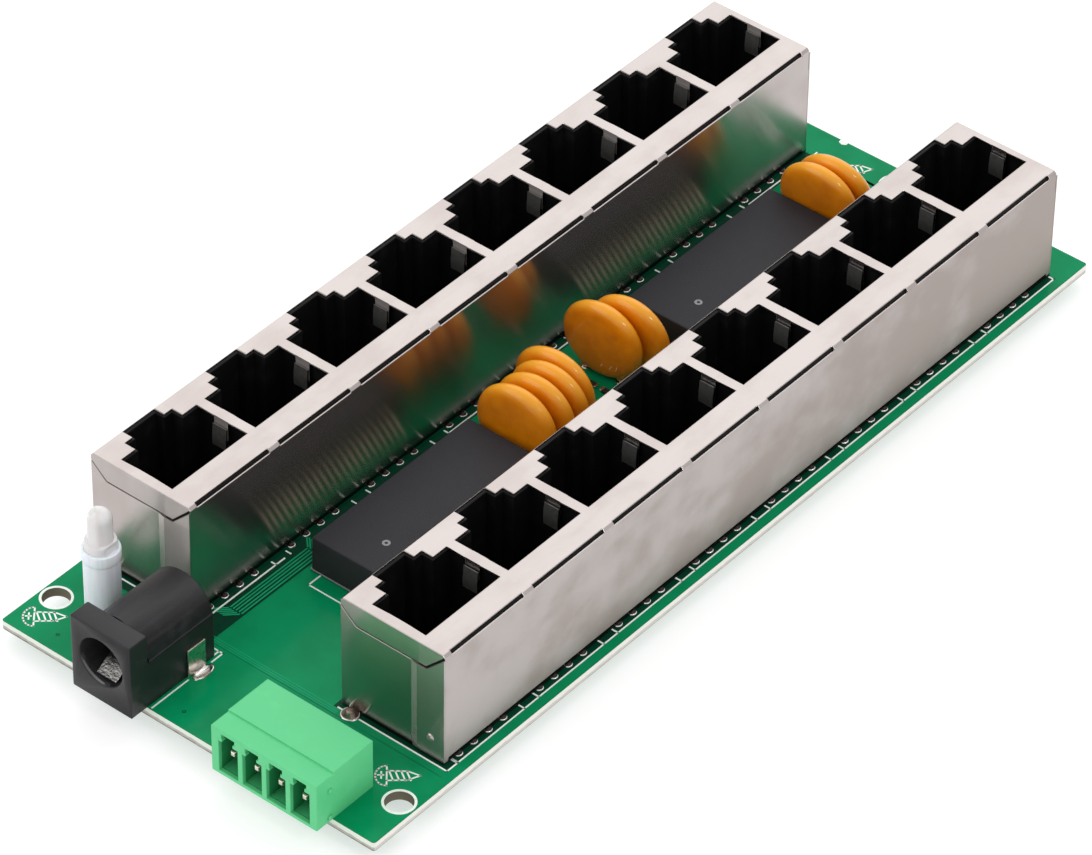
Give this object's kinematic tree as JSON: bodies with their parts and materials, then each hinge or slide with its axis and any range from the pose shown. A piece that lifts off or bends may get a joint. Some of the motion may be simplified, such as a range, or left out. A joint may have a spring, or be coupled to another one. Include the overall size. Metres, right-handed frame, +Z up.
{
  "type": "multi-port poe injector",
  "caption": "Bare power-over-Ethernet injector board: two shielded banks of upright network jacks, transformers, disc fuses, a power jack and a terminal header.",
  "frame": {"origin": "under the middle of the whole outline, at the tips of the banks' locating pegs", "axes": "+X across the board to its right side, +Y from the edge with the power inlets to the opposite edge, +Z up out of the board towards the port mouths"},
  "size_m": [0.056, 0.1348, 0.0194],
  "materials": {
    "solder_mask_green": "glossy green solder mask over pale glass-epoxy, white legend",
    "tinned_sheet": "bright tinned sheet, faint rolling grain along the bank",
    "housing_black": "matt black moulding",
    "contact_gold": "gold-flashed spring strip",
    "solder": "bright solder",
    "transformer_grey": "matt dark grey epoxy",
    "tinned_lead": "tinned lead",
    "fuse_amber": "amber dipped coating",
    "header_green": "light green moulding",
    "jack_black": "black moulding with a soft sheen",
    "nickel": "nickel plate",
    "lamp_clear": "clear to milky cast lens",
    "spacer_white": "natural white nylon",
    "chip_black": "black chip with tinned ends"
  },
  "bodies": {
    "root": {"chip_resistors": "chip_black", "circuit_board": "solder_mask_green", "front_solder": "solder", "front_transformer": "transformer_grey", "front_transformer_leads": "tinned_lead", "fuse_1": "fuse_amber", "fuse_2": "fuse_amber", "fuse_3": "fuse_amber", "fuse_4": "fuse_amber", "fuse_5": "fuse_amber", "fuse_6": "fuse_amber", "fuse_7": "fuse_amber", "fuse_8": "fuse_amber", "fuse_solder": "solder", "lamp_lens": "lamp_clear", "lamp_spacer": "spacer_white", "left_bank_housing": "housing_black", "left_bank_shield": "tinned_sheet", "left_bank_solder": "solder", "left_port_1_contacts": "contact_gold", "left_port_2_contacts": "contact_gold", "left_port_3_contacts": "contact_gold", "left_port_4_contacts": "contact_gold", "left_port_5_contacts": "contact_gold", "left_port_6_contacts": "contact_gold", "left_port_7_contacts": "contact_gold", "left_port_8_contacts": "contact_gold", "power_jack": "jack_black", "power_jack_pin": "nickel", "power_jack_rear_lug": "nickel", "power_jack_side_lug": "nickel", "power_jack_spring": "nickel", "rear_transformer": "transformer_grey", "rear_transformer_leads": "tinned_lead", "right_bank_housing": "housing_black", "right_bank_shield": "tinned_sheet", "right_bank_solder": "solder", "right_port_1_contacts": "contact_gold", "right_port_2_contacts": "contact_gold", "right_port_3_contacts": "contact_gold", "right_port_4_contacts": "contact_gold", "right_port_5_contacts": "contact_gold", "right_port_6_contacts": "contact_gold", "right_port_7_contacts": "contact_gold", "right_port_8_contacts": "contact_gold", "terminal_header": "header_green", "terminal_pins": "tinned_lead"}
  },
  "joints": []
}
